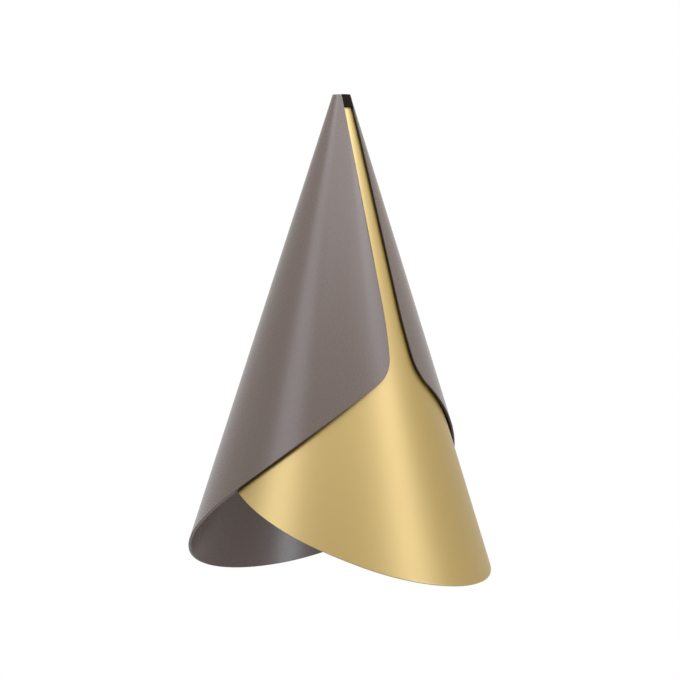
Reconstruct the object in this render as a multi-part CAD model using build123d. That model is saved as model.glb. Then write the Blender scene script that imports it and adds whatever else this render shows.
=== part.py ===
from build123d import *
import os
from collections import namedtuple
from itertools import accumulate, pairwise
from math import atan2, ceil, cos, pi, radians, sin, sqrt, tan

# Pendant lampshade: two sheets of metal, each rolled into a pointed cone with an
# open slot, one inside the other and turned back to back, on a bush in the nose.
# Millimetres. +Z is up, the cones' axis is Z, and the outer sheet's slot faces -Y.
# The origin is the centre of the cord bore, at the top of the nose.

# Sheet and outer cone
sheet_thickness = 1.7
cone_half_angle = 17.5
rim_radius = 5.3

# Blank, drawn flat. Distances run from the cone's point, and the outline is a chain
# of arcs, each tangent to the next, from the low tip round to the slot.
hem_reach = 315.1
tip_radius = 114.7
tip_turn = 31.2
flank_radius = 178.1
flank_turn = 43.9
shoulder_radius = 364.0
corner_radius = 23.3
slot_width = 7.6
slot_taper = 1.2
slot_straight = 131.0
slot_flare_radius = 278.0

# Inner sheet: a slightly slimmer cone, so that the gap widens from nose to hem
inner_half_angle = 17.3
nose_gap = 0.15
inner_turn = 184.4
inner_rim_drop = 7.5
inner_reach = 319.5

# Bush in the nose, with a key that fills the outer sheet's slot above the inner rim
cord_bore = 4.8
bush_clearance = 0.1
bush_length = 30.0
bush_edge_round = 0.4
key_recess = 0.15
key_root = 0.6

# How closely the rolled outline is followed, and how far its cutting face overruns
station_turn = 6.0
slot_stations = 6
overrun = 2.0

Cone = namedtuple("Cone", "slope point_height rim_distance reach")


def cone_from_rim(half_angle, radius, height, reach):
    """The cone that a sheet lies on, from the radius and height of its rim."""
    slope = radians(half_angle)
    return Cone(slope, height + radius / tan(slope), radius / sin(slope), reach)


def wall_radius(cone, depth, height):
    """Radius of the cone that lies a given depth below a sheet's outer face."""
    return (cone.point_height - height) * tan(cone.slope) - depth / cos(cone.slope)


outer_cone = cone_from_rim(cone_half_angle, rim_radius, 0, hem_reach)
inner_rim_radius = wall_radius(outer_cone, sheet_thickness + nose_gap, -inner_rim_drop)
inner_cone = cone_from_rim(inner_half_angle, inner_rim_radius, -inner_rim_drop, inner_reach)


def toward(direction):
    """Unit vector on the flat blank, at an angle from the line to the low tip."""
    return Vector(sin(direction), cos(direction))


def direction_of(vector):
    """The angle that toward() takes to give this vector's direction."""
    return atan2(vector.X, vector.Y)


def arc_stations(centre, radius, start, end):
    """Points along an arc of the flat blank, from one direction to another."""
    count = ceil(abs(end - start) / radians(station_turn)) + 3
    step = (end - start) / count
    return [centre + toward(start + i * step) * radius for i in range(count + 1)]


def meeting_point(first, first_reach, second, second_reach):
    """The point at a given reach from each of two centres, to the right of the line."""
    across = second - first
    along = (across.length**2 + first_reach**2 - second_reach**2) / (2 * across.length)
    unit = across.normalized()
    rise = sqrt(first_reach**2 - along**2)
    return first + unit * along + Vector(unit.Y, -unit.X) * rise


def half_outline(cone, width):
    """Flat outline from the low tip along the hem, round the corner and up the slot."""
    half_sweep = pi * sin(cone.slope)
    flank_start = radians(tip_turn)
    shoulder_start = flank_start + radians(flank_turn)
    tip_centre = Vector(0, cone.reach - tip_radius)
    flank_centre = tip_centre + toward(flank_start) * (tip_radius - flank_radius)
    shoulder_centre = flank_centre + toward(shoulder_start) * (flank_radius - shoulder_radius)
    edge_direction = half_sweep - radians(slot_taper)
    into_sheet = toward(edge_direction - pi / 2)
    slot_top = toward(half_sweep) * cone.rim_distance + toward(half_sweep - pi / 2) * width / 2
    flare_start = slot_top + toward(edge_direction) * slot_straight
    flare_centre = flare_start + into_sheet * slot_flare_radius
    corner_centre = meeting_point(
        shoulder_centre,
        shoulder_radius - corner_radius,
        flare_centre,
        slot_flare_radius - corner_radius,
    )
    corner_start = direction_of(corner_centre - shoulder_centre)
    corner_end = direction_of(corner_centre - flare_centre)
    slot_edge = toward(edge_direction) * (slot_straight + overrun)
    return [
        arc_stations(tip_centre, tip_radius, 0, flank_start),
        arc_stations(flank_centre, flank_radius, flank_start, shoulder_start),
        arc_stations(shoulder_centre, shoulder_radius, shoulder_start, corner_start),
        arc_stations(corner_centre, corner_radius, corner_start, corner_end),
        arc_stations(flare_centre, slot_flare_radius, corner_end, edge_direction + pi / 2),
        [flare_start - slot_edge * (i / slot_stations) for i in range(slot_stations + 1)],
    ]


def roll(point, cone, depth):
    """Place a point of the flat blank on the cone, some way below its outer face."""
    distance = point.length
    azimuth = pi / 2 - direction_of(point) / sin(cone.slope)
    radius = distance * sin(cone.slope) - depth * cos(cone.slope)
    height = cone.point_height - distance * cos(cone.slope) - depth * sin(cone.slope)
    return Vector(radius * cos(azimuth), radius * sin(azimuth), height)


def rolled_edge(stretch, cone, depth):
    """One stretch of the outline on the cone, spaced as it is on the flat blank."""
    spacing = [0.0] + list(accumulate((b - a).length for a, b in pairwise(stretch)))
    rolled = [roll(point, cone, depth) for point in stretch]
    return Edge.make_spline(rolled, parameters=spacing)


def outline_cutter(cone, width):
    """Ruled face square to the sheet, all the way round the rolled outline."""
    half = half_outline(cone, width)
    mirrored = [[Vector(-p.X, p.Y) for p in reversed(stretch)] for stretch in reversed(half)]
    rails = []
    for depth in (-overrun, sheet_thickness + overrun):
        edges = [rolled_edge(stretch, cone, depth) for stretch in mirrored + half]
        rails.append(Wire(edges))
    return Face.make_surface_from_curves(*rails)


def turned(corners, seam):
    """Solid swept by a closed outline of (radius, height) corners, seam toward +Y or -Y."""
    seam_side = Plane(origin=(0, 0, 0), x_dir=(0, seam, 0), z_dir=(seam, 0, 0))
    section = seam_side * make_face(Polyline(*corners, close=True))
    return revolve(section, Axis.Z, 360).solid()


def cut_out(solid, cone, width, point):
    """The piece of a solid on one side of the outline: the one that holds the point."""
    pieces = solid.split(outline_cutter(cone, width), keep=Keep.ALL)
    return next(piece for piece in pieces if piece.is_inside(point))


def rolled_sheet(cone):
    """A sheet with its low tip toward +Y and its slot toward -Y."""
    def wall(distance, depth):
        return (
            distance * sin(cone.slope) - depth * cos(cone.slope),
            cone.point_height - distance * cos(cone.slope) - depth * sin(cone.slope),
        )

    corners = [
        wall(cone.rim_distance, 0),
        wall(cone.reach + overrun, 0),
        wall(cone.reach + overrun, sheet_thickness),
        wall(cone.rim_distance, sheet_thickness),
    ]
    middle = Vector(0, (cone.rim_distance + cone.reach) / 2)
    inside = roll(middle, cone, sheet_thickness / 2)
    return cut_out(turned(corners, -1), cone, slot_width, inside)


def slot_key(shoulder):
    """Rib that fills the outer sheet's slot from the rim down to the shoulder."""
    root = sheet_thickness + bush_clearance + key_root
    corners = [
        (wall_radius(outer_cone, key_recess, 0), 0),
        (wall_radius(outer_cone, key_recess, shoulder), shoulder),
        (wall_radius(outer_cone, root, shoulder), shoulder),
        (wall_radius(outer_cone, root, 0), 0),
    ]
    inside = Vector(0, -wall_radius(outer_cone, sheet_thickness / 2, shoulder / 2), shoulder / 2)
    return cut_out(turned(corners, 1), outer_cone, slot_width - 2 * bush_clearance, inside)


def nose_bush():
    """Stepped plug that both cones sit on, with the cord's bore down its axis."""
    depth = sheet_thickness + bush_clearance
    shoulder = bush_clearance - inner_rim_drop
    foot = -bush_length
    corners = [
        (cord_bore / 2, 0),
        (wall_radius(outer_cone, depth, 0), 0),
        (wall_radius(outer_cone, depth, shoulder), shoulder),
        (wall_radius(inner_cone, depth, shoulder), shoulder),
        (wall_radius(inner_cone, depth, foot), foot),
        (cord_bore / 2, foot),
    ]
    plug = turned(corners, 1)
    ends = [plug.edges().filter_by(GeomType.CIRCLE).group_by(Axis.Z)[i] for i in (0, -1)]
    rims = [end.sort_by(lambda edge: edge.radius)[-1] for end in ends]
    return (fillet(rims, bush_edge_round) + slot_key(shoulder)).solid()


os.makedirs("parts", exist_ok=True)
export_step(rolled_sheet(outer_cone), "parts/outer_shade.step")
export_step(Rot(0, 0, inner_turn) * rolled_sheet(inner_cone), "parts/inner_shade.step")
export_step(nose_bush(), "parts/cord_bush.step")
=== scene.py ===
import bpy
import numpy as np
from math import cos, pi, radians, sin, sqrt, tan
from mathutils import Matrix, Vector


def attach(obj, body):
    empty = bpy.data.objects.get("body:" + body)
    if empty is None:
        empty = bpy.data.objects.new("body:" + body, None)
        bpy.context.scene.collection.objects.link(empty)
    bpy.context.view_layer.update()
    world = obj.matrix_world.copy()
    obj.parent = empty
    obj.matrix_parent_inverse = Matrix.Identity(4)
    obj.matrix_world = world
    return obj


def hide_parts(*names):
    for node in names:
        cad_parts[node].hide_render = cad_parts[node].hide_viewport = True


# Pendant lampshade: two rolled sheets back to back, one inside the other, on a bush in
# the nose. Metres and degrees. +Z is up the cones' axis, and the outer slot faces -Y.
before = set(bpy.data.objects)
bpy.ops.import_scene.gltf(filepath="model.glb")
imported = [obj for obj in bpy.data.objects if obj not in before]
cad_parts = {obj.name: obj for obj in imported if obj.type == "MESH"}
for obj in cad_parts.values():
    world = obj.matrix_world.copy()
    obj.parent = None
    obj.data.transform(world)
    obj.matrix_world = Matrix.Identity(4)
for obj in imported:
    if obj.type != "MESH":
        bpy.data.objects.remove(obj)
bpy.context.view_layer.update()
print("frame loaded:", sorted(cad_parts))


# Shader maths: a Shade is one output of a node, and + - * on it add Math nodes.
class Shade:
    def __init__(self, tree, socket):
        self.tree = tree
        self.socket = socket

    def maths(self, operation, first, second):
        node = self.tree.nodes.new("ShaderNodeMath")
        node.operation = operation
        for place, value in enumerate((first, second)):
            if isinstance(value, Shade):
                self.tree.links.new(value.socket, node.inputs[place])
            else:
                node.inputs[place].default_value = value
        return Shade(self.tree, node.outputs[0])

    def __add__(self, other):
        return self.maths("ADD", self, other)

    def __radd__(self, other):
        return self.maths("ADD", other, self)

    def __sub__(self, other):
        return self.maths("SUBTRACT", self, other)

    def __rsub__(self, other):
        return self.maths("SUBTRACT", other, self)

    def __mul__(self, other):
        return self.maths("MULTIPLY", self, other)

    def __rmul__(self, other):
        return self.maths("MULTIPLY", other, self)

    def greaterOf(self, other):
        return self.maths("MAXIMUM", self, other)

    # another output of the same node
    def beside(self, output):
        return Shade(self.tree, self.socket.node.outputs[output])


# The Mix node's sockets in its colour mode
mixSockets = {"amount": 0, "first": 6, "second": 7, "result": 2}


# A node tree for a material or the world. node() makes any node: type, settings, sockets.
class Finish:
    def __init__(self, owner):
        owner.use_nodes = True
        self.owner = owner
        self.tree = owner.node_tree
        self.tree.nodes.clear()

    def node(self, kind, settings, sockets, output=0):
        made = self.tree.nodes.new(kind)
        for key, value in settings.items():
            setattr(made, key, value)
        for key, value in sockets.items():
            if isinstance(value, Shade):
                self.tree.links.new(value.socket, made.inputs[key])
            else:
                made.inputs[key].default_value = value
        return Shade(self.tree, made.outputs[output]) if len(made.outputs) else None

    def spot(self):
        return self.node("ShaderNodeTexCoord", {}, {}, "Object")

    def noise(self, where, scale, detail):
        sockets = {"Vector": where, "Scale": scale, "Detail": detail}
        return self.node("ShaderNodeTexNoise", {}, sockets, "Fac")

    def blend(self, amount, first, second):
        values = {"amount": amount, "first": first, "second": second}
        sockets = {mixSockets[key]: value for key, value in values.items()}
        return self.node("ShaderNodeMix", {"data_type": "RGBA"}, sockets, mixSockets["result"])

    def attribute(self, name):
        return self.node("ShaderNodeAttribute", {"attribute_name": name}, {}, "Fac")

    def bump(self, height, strength, distance):
        sockets = {"Height": height, "Strength": strength, "Distance": distance}
        return self.node("ShaderNodeBump", {}, sockets, "Normal")

    def surface(self, sockets):
        return self.cover(self.node("ShaderNodeBsdfPrincipled", {}, sockets))

    def cover(self, shader):
        self.node("ShaderNodeOutputMaterial", {}, {"Surface": shader})
        return self.owner


# sRGB numbers, 0 to 255, as the linear colour that the shaders take: v / 12.92 for the
# darkest values, ((v + 0.055) / 1.055) to the power 2.4 for the rest
def colour(red, green, blue):
    values = np.array([red, green, blue]) / 255
    linear = np.where(values <= 0.04045, values / 12.92, ((values + 0.055) / 1.055) ** 2.4)
    return (*[float(value) for value in linear], 1.0)


white = (1.0, 1.0, 1.0, 1.0)

# The two sheets. Each is cut from a flat blank and rolled onto a cone of its own. Its
# reach runs from the cone's point to the low tip of the hem.
sheetThickness = 0.0017
noseGap = 0.00015
blank = {
    "tipRadius": 0.1147,
    "tipTurn": 31.2,
    "flankRadius": 0.1781,
    "flankTurn": 43.9,
    "shoulderRadius": 0.3640,
    "cornerRadius": 0.0233,
    "slotWidth": 0.0076,
    "slotTaper": 1.2,
    "slotStraight": 0.1310,
    "slotFlareRadius": 0.2780,
}
outerSheet = {
    "halfAngle": 17.5,
    "rimRadius": 0.0053,
    "rimHeight": 0.0,
    "reach": 0.3151,
    "turn": 0.0,
    "edgeRound": 0.00040,
}
innerSheet = {
    "halfAngle": 17.3,
    "rimHeight": -0.0075,
    "reach": 0.3195,
    "turn": 184.4,
    "edgeRound": 0.00030,
}

# Painted shade on the cut edges where the other sheet lies close behind: it darkens
# between these depths into the sheet, and over this distance inside the other sheet's hem
edgeShade = {"start": 0.00012, "full": 0.00048, "fade": 0.003}

# Quads along each stretch of half an outline and round each eased edge, and the width of
# the plain border between an eased edge and the grid on the face
steps = {
    "tip": 26,
    "flank": 44,
    "shoulder": 26,
    "halfCorner": 16,
    "flare": 22,
    "slot": 32,
    "easing": 5,
}
borderWidth = 0.0003


# height of the cone's point = rim height + rim radius / tan(half angle)
def pointHeight(sheet):
    return sheet["rimHeight"] + sheet["rimRadius"] / tan(radians(sheet["halfAngle"]))


# distance down the cone from its point to the rim = rim radius / sin(half angle)
def rimReach(sheet):
    return sheet["rimRadius"] / sin(radians(sheet["halfAngle"]))


# radius of the outer cone at the inner rim's height, less (thickness + gap) / cos(half angle)
def innerRimRadius():
    slope = radians(outerSheet["halfAngle"])
    outerRadius = (pointHeight(outerSheet) - innerSheet["rimHeight"]) * tan(slope)
    return outerRadius - (sheetThickness + noseGap) / cos(slope)


innerSheet["rimRadius"] = innerRimRadius()


# direction a -> (sin a, cos a), on the flat blank, from the line to the low tip
def toward(angle):
    return np.stack([np.sin(angle), np.cos(angle)], axis=-1)


# arc: centre + radius * (sin a, cos a), a from start to end; its normal is (sin a, cos a)
def arcRun(centre, radius, start, end, count):
    out = toward(np.linspace(start, end, count + 1))
    return centre + radius * out, out


# the point that lies one given distance from each of two centres, right of the line between
def meetingPoint(first, firstReach, second, secondReach):
    across = second - first
    length = np.hypot(*across)
    along = (length**2 + firstReach**2 - secondReach**2) / (2 * length)
    unit = across / length
    rise = sqrt(firstReach**2 - along**2)
    return first + unit * along + np.array([unit[1], -unit[0]]) * rise


# runs of points and normals end to end, the point that two runs share taken once
def joined(runs):
    points = np.concatenate([run[0][:-1] for run in runs[:-1]] + [runs[-1][0]])
    normals = np.concatenate([run[1][:-1] for run in runs[:-1]] + [runs[-1][1]])
    return points, normals


# Half of the blank's outline, a chain of arcs each tangent to the next: tip, flank,
# shoulder and half the corner make the hem, and the rest goes up the slot to the rim.
def halfOutline(sheet):
    halfSweep = pi * sin(radians(sheet["halfAngle"]))
    flankStart = radians(blank["tipTurn"])
    shoulderStart = flankStart + radians(blank["flankTurn"])
    tipCentre = np.array([0.0, sheet["reach"] - blank["tipRadius"]])
    flankCentre = tipCentre + toward(flankStart) * (blank["tipRadius"] - blank["flankRadius"])
    shoulderShift = blank["flankRadius"] - blank["shoulderRadius"]
    shoulderCentre = flankCentre + toward(shoulderStart) * shoulderShift
    edgeDirection = halfSweep - radians(blank["slotTaper"])
    alongSlot = toward(edgeDirection)
    slotTop = toward(halfSweep) * rimReach(sheet)
    slotTop = slotTop + toward(halfSweep - pi / 2) * blank["slotWidth"] / 2
    flareStart = slotTop + alongSlot * blank["slotStraight"]
    flareCentre = flareStart + toward(edgeDirection - pi / 2) * blank["slotFlareRadius"]
    corner = blank["cornerRadius"]
    cornerCentre = meetingPoint(
        shoulderCentre,
        blank["shoulderRadius"] - corner,
        flareCentre,
        blank["slotFlareRadius"] - corner,
    )
    cornerStart = np.arctan2(*(cornerCentre - shoulderCentre))
    cornerEnd = np.arctan2(*(cornerCentre - flareCentre))
    cornerMiddle = (cornerStart + cornerEnd) / 2
    topAlong = slotTop @ alongSlot
    toRim = topAlong - sqrt(topAlong**2 - slotTop @ slotTop + rimReach(sheet) ** 2)
    rimCorner = slotTop - alongSlot * toRim
    share = np.linspace(0, 1, steps["slot"] + 1)[:, None]
    slotRun = flareStart * (1 - share) + rimCorner * share
    slotOut = np.tile(toward(edgeDirection + pi / 2), (steps["slot"] + 1, 1))
    flareEnd = edgeDirection + pi / 2
    hem = [
        arcRun(tipCentre, blank["tipRadius"], 0, flankStart, steps["tip"]),
        arcRun(flankCentre, blank["flankRadius"], flankStart, shoulderStart, steps["flank"]),
        arcRun(shoulderCentre, blank["shoulderRadius"], shoulderStart, cornerStart, steps["shoulder"]),
        arcRun(cornerCentre, corner, cornerStart, cornerMiddle, steps["halfCorner"]),
    ]
    side = [
        arcRun(cornerCentre, corner, cornerMiddle, cornerEnd, steps["halfCorner"]),
        arcRun(flareCentre, blank["slotFlareRadius"], cornerEnd, flareEnd, steps["flare"]),
        (slotRun, slotOut),
    ]
    return joined(hem), joined(side)


# share of the way along a line of points, 0 to 1
def shareAlong(points):
    lengths = np.hypot(*np.diff(points, axis=0).T)
    total = np.concatenate([[0], np.cumsum(lengths)])
    return total / total[-1]


# The whole outline as one loop, with its normals out of the sheet: the hem from left to
# right, up one side of the slot, back along the rim, which is an arc about the cone's
# point, and down the other side. Also each point's share of the way along the hem, and
# up a side.
def wholeOutline(sheet):
    (hem, hemOut), (side, sideOut) = halfOutline(sheet)
    flip = np.array([-1.0, 1.0])
    hem = np.concatenate([hem[:0:-1] * flip, hem])
    hemOut = np.concatenate([hemOut[:0:-1] * flip, hemOut])
    across, up = shareAlong(hem), shareAlong(side)
    rimDirections = toward(np.arctan2(*side[-1]) * (2 * across - 1))
    rim, rimOut = rimDirections * rimReach(sheet), -rimDirections
    mitre = (sideOut[-1] + rimOut[-1]) / (1 + sideOut[-1] @ rimOut[-1])
    sideOut = np.concatenate([sideOut[:-1], [mitre]])
    rimOut = np.concatenate([rimOut[:-1], [mitre]])
    loop = np.concatenate([hem[:-1], side[:-1], rim[:0:-1], (side * flip)[:0:-1]])
    loopOut = np.concatenate([hemOut[:-1], sideOut[:-1], rimOut[:0:-1], (sideOut * flip)[:0:-1]])
    return loop, loopOut, across, up


# A grid between the four stretches of such a loop, P = (1-v) rim(u) + v hem(u)
# + (1-u) left(v) + u right(v) - the corners' own blend, v from the rim to the hem
def facePatch(loop, across, up):
    columns, rows = len(across) - 1, len(up) - 1
    hem = loop[: columns + 1]
    right = loop[columns : columns + rows + 1][::-1]
    rim = loop[columns + rows : 2 * columns + rows + 1][::-1]
    left = np.concatenate([loop[2 * columns + rows :], loop[:1]])
    u = across[None, :, None]
    v = (1 - up)[::-1][:, None, None]
    patch = (1 - v) * rim[None] + v * hem[None] + (1 - u) * left[:, None] + u * right[:, None]
    corners = (1 - v) * ((1 - u) * rim[0] + u * rim[-1]) + v * ((1 - u) * hem[0] + u * hem[-1])
    return patch - corners


# Rolling: a blank point at distance s and angle a goes to azimuth 90 deg - a / sin(slope),
# radius s sin(slope) - depth cos(slope), height point - s cos(slope) - depth sin(slope).
def rolledUp(flat, depth, sheet):
    slope = radians(sheet["halfAngle"])
    distance = np.hypot(flat[..., 0], flat[..., 1])
    azimuth = pi / 2 - np.arctan2(flat[..., 0], flat[..., 1]) / sin(slope) + radians(sheet["turn"])
    radius = distance * sin(slope) - depth * cos(slope)
    height = pointHeight(sheet) - distance * cos(slope) - depth * sin(slope)
    return np.stack([radius * np.cos(azimuth), radius * np.sin(azimuth), height], axis=-1)


# How far the other sheet lies behind each point of a cut edge, on a scale of 0 to 1, which
# sets the painted shade there: (its hem's distance from the cone's point - the edge's own distance) /
# fade
def sheetBehind(loop, sheet, other):
    spots = rolledUp(loop, 0.0, sheet)
    slope = radians(other["halfAngle"])
    (hem, _), _ = halfOutline(other)
    away = pi / 2 + radians(other["turn"]) - np.arctan2(spots[:, 1], spots[:, 0])
    angle = np.abs((away + pi) % (2 * pi) - pi) * sin(slope)
    hemDistance = np.interp(angle, np.arctan2(hem[:, 0], hem[:, 1]), np.hypot(hem[:, 0], hem[:, 1]))
    distance = (pointHeight(other) - spots[:, 2]) / cos(slope)
    return np.clip((hemDistance - distance) / edgeShade["fade"], 0, 1)


# The sheet: a grid on each face, and between the two faces rings of points round the
# outline, drawn in by r (1 - sin b) and sunk by r (1 - cos b) for the eased edges, with
# b from 0 to 90 degrees. cutEdge is 1 on the rings, and paintedGapShade, the painted shade
# between the sheets, is depth times overlap.
def rolledSheet(name, sheet, other):
    loop, loopOut, across, up = wholeOutline(sheet)
    eased = sheet["edgeRound"]
    bend = np.linspace(0, pi / 2, steps["easing"] + 1)
    drawnIn, sunk = eased * (1 - np.sin(bend)), eased * (1 - np.cos(bend))
    insets = np.concatenate([drawnIn, drawnIn[::-1]])
    depths = np.concatenate([sunk, sheetThickness - sunk[::-1]])

    patch = facePatch(loop - (eased + borderWidth) * loopOut, across, up)
    faceOut = rolledUp(patch, 0.0, sheet).reshape(-1, 3)
    faceIn = rolledUp(patch, sheetThickness, sheet).reshape(-1, 3)
    rings = loop[None] - insets[:, None, None] * loopOut[None]
    edge = rolledUp(rings, depths[:, None], sheet).reshape(-1, 3)
    points = np.concatenate([faceOut, faceIn, edge])

    size = len(across) * len(up)
    place = np.arange(size).reshape(len(up), len(across))
    quads = np.stack([place[:-1, :-1], place[:-1, 1:], place[1:, 1:], place[1:, :-1]], axis=-1)
    quads = quads.reshape(-1, 4)
    border = np.concatenate([place[-1, :-1], place[:0:-1, -1], place[0, :0:-1], place[:-1, 0]])
    ringPlaces = 2 * size + np.arange(len(edge)).reshape(len(depths), len(loop))
    belt = np.concatenate([border[None], ringPlaces, size + border[None]])
    after = np.roll(belt, -1, axis=1)
    band = np.stack([belt[:-1], after[:-1], after[1:], belt[1:]], axis=-1).reshape(-1, 4)
    faces = np.concatenate([quads, size + quads[:, ::-1], band])

    onFaces = np.zeros(2 * size)
    deep = (depths[:, None] - edgeShade["start"]) / (edgeShade["full"] - edgeShade["start"])
    shade = np.clip(deep, 0, 1) * sheetBehind(loop, sheet, other)[None]
    attributes = {
        "cutEdge": np.concatenate([onFaces, np.ones(len(edge))]),
        "paintedGapShade": np.concatenate([onFaces, shade.ravel()]),
    }
    return madePiece(name, points, faces.tolist(), attributes)


# points, faces and one number per point for each attribute, as a smooth-shaded object
# that sits at the origin
def madePiece(name, points, faces, attributes):
    mesh = bpy.data.meshes.new(name)
    mesh.from_pydata(points.tolist(), [], faces)
    mesh.polygons.foreach_set("use_smooth", np.ones(len(mesh.polygons), dtype=bool))
    for key, values in attributes.items():
        layer = mesh.attributes.new(key, "FLOAT", "POINT")
        layer.data.foreach_set("value", values.astype(np.float32))
    mesh.validate()
    mesh.update()
    made = bpy.data.objects.new(name, mesh)
    bpy.context.scene.collection.objects.link(made)
    return made


outerPiece = rolledSheet("outerShadeSheet", outerSheet, innerSheet)
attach(outerPiece, "root")
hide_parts("outer_shade")
innerPiece = rolledSheet("innerShadeSheet", innerSheet, outerSheet)
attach(innerPiece, "root")
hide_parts("inner_shade")
print("sheets rolled:", len(outerPiece.data.polygons), len(innerPiece.data.polygons), "faces")

# Finishes. Scales are of the noise, shares are how far it pulls the colour over, and
# swings are how far it moves the roughness.
powder = {
    "colour": colour(88, 75, 68),
    "speckColour": colour(81, 69, 62),
    # painted shade: the near-black that the cut edges take where the two sheets lie close
    "paintedGapShadeColour": colour(24, 16, 11),
    "speckScale": 1400.0,
    "cloudScale": 9.0,
    "peelScale": 520.0,
    "noiseDetail": 2.0,
    "speckShare": 0.45,
    "cloudShare": 0.3,
    "roughness": 0.27,
    "cloudSwing": 0.05,
    "speckSwing": 0.06,
    "speckHeight": 0.4,
    "bumpStrength": 0.045,
    "bumpDistance": 0.0003,
    "shine": 0.34,
}


# what a noise adds to a value: (noise - its middle) * swing
def swayed(noise, swing):
    return (noise - 0.5) * swing


# fine dark specks and faint clouds over the coat, painted shade from paintedGapShade on
# the cut edges where the other sheet lies behind, and a bump of peel + share * specks
def powderCoat():
    finish = Finish(bpy.data.materials.new("umberPowderCoat"))
    spot = finish.spot()
    speck = finish.noise(spot, powder["speckScale"], powder["noiseDetail"])
    cloud = finish.noise(spot, powder["cloudScale"], powder["noiseDetail"])
    peel = finish.noise(spot, powder["peelScale"], powder["noiseDetail"])
    specked = speck * powder["speckShare"] + cloud * powder["cloudShare"]
    body = finish.blend(specked, powder["colour"], powder["speckColour"])
    # painted shade on the cut edges between the two sheets
    body = finish.blend(finish.attribute("paintedGapShade"), body, powder["paintedGapShadeColour"])
    swings = swayed(cloud, powder["cloudSwing"]) + swayed(speck, powder["speckSwing"])
    height = peel + speck * powder["speckHeight"]
    return finish.surface({
        "Base Color": body,
        "Roughness": powder["roughness"] + swings,
        "Normal": finish.bump(height, powder["bumpStrength"], powder["bumpDistance"]),
        "Specular IOR Level": powder["shine"],
    })


brass = {
    "colour": colour(148, 120, 42),
    "toneColour": colour(142, 114, 38),
    "edgeColour": colour(165, 142, 84),
    "grainScale": 1500.0,
    "cloudScale": 14.0,
    "noiseDetail": 3.0,
    "grainShare": 0.4,
    "cloudShare": 0.5,
    "edgeShare": 0.6,
    "metallic": 0.6,
    "ior": 2.6,
    "roughness": 0.42,
    "cloudSwing": 0.04,
    "grainSwing": 0.08,
    "bumpStrength": 0.05,
    "bumpDistance": 0.0002,
}


# fine grain and faint clouds over the brass, paler where cutEdge is 1, and a bump of grain
def satinBrass():
    finish = Finish(bpy.data.materials.new("satinBrass"))
    spot = finish.spot()
    grain = finish.noise(spot, brass["grainScale"], brass["noiseDetail"])
    cloud = finish.noise(spot, brass["cloudScale"], brass["noiseDetail"])
    toned = grain * brass["grainShare"] + cloud * brass["cloudShare"]
    body = finish.blend(toned, brass["colour"], brass["toneColour"])
    body = finish.blend(finish.attribute("cutEdge") * brass["edgeShare"], body, brass["edgeColour"])
    swings = swayed(cloud, brass["cloudSwing"]) + swayed(grain, brass["grainSwing"])
    return finish.surface({
        "Base Color": body,
        "Metallic": brass["metallic"],
        "Roughness": brass["roughness"] + swings,
        "Normal": finish.bump(grain, brass["bumpStrength"], brass["bumpDistance"]),
        "IOR": brass["ior"],
    })


moulding = {
    "colour": colour(16, 10, 6),
    "cloudColour": colour(22, 14, 9),
    "grainScale": 2200.0,
    "cloudScale": 120.0,
    "noiseDetail": 2.0,
    "cloudShare": 0.6,
    "roughness": 0.75,
    "grainSwing": 0.15,
    "bumpStrength": 0.12,
    "bumpDistance": 0.0002,
    "shine": 0.05,
}


# faint clouds over the black, and a bump of fine grain
def blackMoulding():
    finish = Finish(bpy.data.materials.new("blackMoulding"))
    spot = finish.spot()
    grain = finish.noise(spot, moulding["grainScale"], moulding["noiseDetail"])
    cloud = finish.noise(spot, moulding["cloudScale"], moulding["noiseDetail"])
    clouded = cloud * moulding["cloudShare"]
    return finish.surface({
        "Base Color": finish.blend(clouded, moulding["colour"], moulding["cloudColour"]),
        "Roughness": moulding["roughness"] + swayed(grain, moulding["grainSwing"]),
        "Normal": finish.bump(grain, moulding["bumpStrength"], moulding["bumpDistance"]),
        "Specular IOR Level": moulding["shine"],
    })


finishes = {"outer_shade": powderCoat(), "inner_shade": satinBrass(), "cord_bush": blackMoulding()}
outerPiece.data.materials.append(finishes["outer_shade"])
innerPiece.data.materials.append(finishes["inner_shade"])
for nodeName, finish in finishes.items():
    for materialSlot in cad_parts[nodeName].material_slots:
        materialSlot.material = finish
print("finishes made")

# Camera, the way the photograph looks at the shade. pointRight and pointUp place the
# outer cone's point from the middle of the picture.
view = {
    "azimuth": -132.476,
    "elevation": -1.328,
    "roll": -0.363,
    "distance": 6.0,
    "pointRight": 0.001008,
    "pointUp": 0.164138,
    "lens": 529.41,
    "sensorWidth": 36.0,
    "nearest": 0.1,
    "farthest": 100.0,
}


# camera = point of the outer cone + distance * back - pointRight * right - pointUp * up
def setCamera():
    azimuth, elevation, roll = (radians(view[key]) for key in ("azimuth", "elevation", "roll"))
    flatBack = Vector((cos(azimuth), sin(azimuth), 0))
    flatRight = Vector((-sin(azimuth), cos(azimuth), 0))
    back = flatBack * cos(elevation) + Vector((0, 0, sin(elevation)))
    upright = Vector((0, 0, cos(elevation))) - flatBack * sin(elevation)
    right = flatRight * cos(roll) - upright * sin(roll)
    up = upright * cos(roll) + flatRight * sin(roll)
    place = Vector((0, 0, pointHeight(outerSheet))) + back * view["distance"]
    place = place - right * view["pointRight"] - up * view["pointUp"]
    optics = bpy.data.cameras.new("camera")
    optics.lens = view["lens"]
    optics.sensor_width = view["sensorWidth"]
    optics.clip_start = view["nearest"]
    optics.clip_end = view["farthest"]
    camera = bpy.data.objects.new("camera", optics)
    turn = Matrix((right, up, back)).transposed()
    camera.matrix_world = Matrix.Translation(place) @ turn.to_4x4()
    bpy.context.scene.collection.objects.link(camera)
    bpy.context.scene.camera = camera


setCamera()

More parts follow.
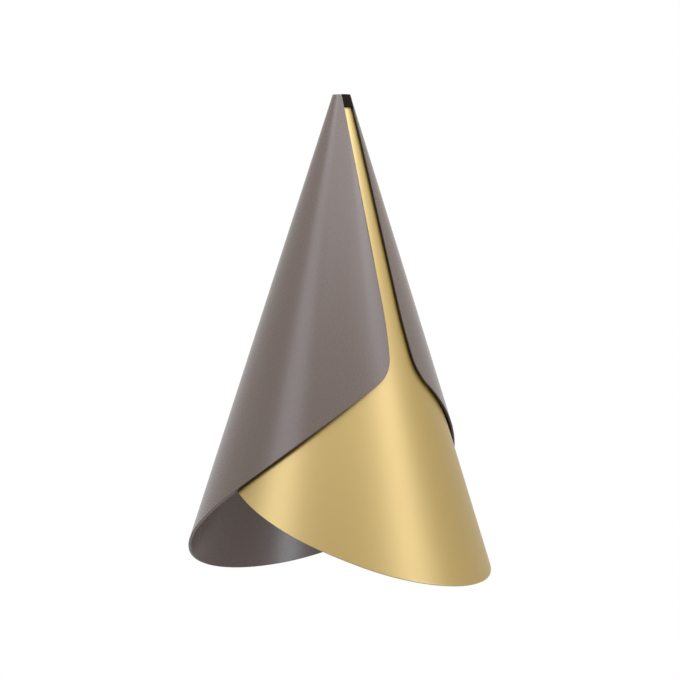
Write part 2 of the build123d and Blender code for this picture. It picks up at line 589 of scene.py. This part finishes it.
# Softboxes. Places are metres to the right of the shade's axis, in front of it toward the
# camera, and up from the nose. Sizes are width and height.
boxes = {
    "left": {"place": (-0.615, 0.43, 0.10), "aim": (0, 0, 0.10), "size": (0.36, 1.10), "watts": 4.6},
    "right": {"place": (0.64, 0.39, 0.0), "aim": (0, 0, 0.0), "size": (0.33, 1.20), "watts": 4.2},
    "over": {"place": (0.08, 0.16, 0.17), "aim": (0.08, 0.16, 0), "size": (0.60, 0.50), "watts": 2.9},
    "low": {"place": (0.43, 0.42, -0.62), "aim": (0, 0, -0.24), "size": (0.20, 0.30), "watts": 1.6},
    "under": {"place": (0.0, 0.1, -0.85), "aim": (0, 0.1, 0), "size": (1.20, 1.20), "watts": 1.0},
}
boxTint = (0.93, 1.0, 1.10)
nearlyUpright = 0.99  # share of a lamp's direction that is up or down, for it to count as so


# right, front and up, about the axis -> the frame's own x, y and z
def fromCamera(spot):
    azimuth = radians(view["azimuth"])
    right, front, up = spot
    x = front * cos(azimuth) - right * sin(azimuth)
    y = front * sin(azimuth) + right * cos(azimuth)
    return Vector((x, y, up))


# a lamp that shines from its place to its aim; one that shines up or down lies square to
# the camera instead of standing upright
def softbox(name, box):
    lamp = bpy.data.lights.new(name, "AREA")
    lamp.shape = "RECTANGLE"
    lamp.size, lamp.size_y = box["size"]
    lamp.energy = box["watts"]
    lamp.color = boxTint
    place = fromCamera(box["place"])
    back = (place - fromCamera(box["aim"])).normalized()
    along = Vector((0, 0, 1)) if abs(back.z) < nearlyUpright else fromCamera((0, 1, 0))
    across = along.cross(back).normalized()
    turn = Matrix((across, back.cross(across), back)).transposed()
    made = bpy.data.objects.new(name, lamp)
    made.matrix_world = Matrix.Translation(place) @ turn.to_4x4()
    made.visible_camera = False
    bpy.context.scene.collection.objects.link(made)


for name, box in boxes.items():
    softbox(name + "Softbox", box)

# Room: the strength that lights the shade, and the one that the camera and reflections see
room = {"light": 0.55, "seen": 1.0}


def paleRoom():
    world = bpy.data.worlds.new("room")
    bpy.context.scene.world = world
    finish = Finish(world)
    cameraRay = finish.node("ShaderNodeLightPath", {}, {}, "Is Camera Ray")
    seen = cameraRay.greaterOf(cameraRay.beside("Is Glossy Ray"))
    seen = seen.greaterOf(cameraRay.beside("Is Transmission Ray"))
    strength = room["light"] + seen * (room["seen"] - room["light"])
    light = finish.node("ShaderNodeBackground", {}, {"Color": white, "Strength": strength})
    finish.node("ShaderNodeOutputWorld", {}, {"Surface": light})


paleRoom()

# Floor: a wide disc well below the hanging shade. It throws back less light than it
# shows, and glows a little for the camera, so that it looks pale from above.
floor = {
    "height": -0.95,
    "rings": (0.5, 1.5, 5.0, 20.0),
    "turns": 128,
    "colour": (0.93, 0.93, 0.93, 1.0),
    "bounceColour": (0.75, 0.75, 0.75, 1.0),
    "glow": 0.40,
}


# rings of points (r cos t, r sin t, height), quads between them, one face inside the first
def paleFloor():
    turns = np.arange(floor["turns"]) * 2 * pi / floor["turns"]
    radii = np.array(floor["rings"])[:, None]
    x, y = radii * np.cos(turns), radii * np.sin(turns)
    points = np.stack([x, y, np.full(x.shape, floor["height"])], axis=-1).reshape(-1, 3)
    place = np.arange(x.size).reshape(x.shape)
    after = np.roll(place, -1, axis=1)
    quads = np.stack([place[:-1], place[1:], after[1:], after[:-1]], axis=-1).reshape(-1, 4)
    disc = madePiece("floor", points, quads.tolist() + [place[0].tolist()], {})
    finish = Finish(bpy.data.materials.new("paleFloor"))
    bounceRay = finish.node("ShaderNodeLightPath", {}, {}, "Is Diffuse Ray")
    cameraRay = bounceRay.beside("Is Camera Ray")
    tone = finish.blend(bounceRay, floor["colour"], floor["bounceColour"])
    lit = finish.node("ShaderNodeBsdfDiffuse", {}, {"Color": tone})
    glow = finish.node("ShaderNodeEmission", {}, {"Color": white, "Strength": 1.0})
    layers = {0: cameraRay * floor["glow"], 1: lit, 2: glow}  # amount, first, second
    disc.data.materials.append(finish.cover(finish.node("ShaderNodeMixShader", {}, layers)))


paleFloor()
bpy.context.scene.view_settings.view_transform = "Standard"
print("camera, light and floor set")
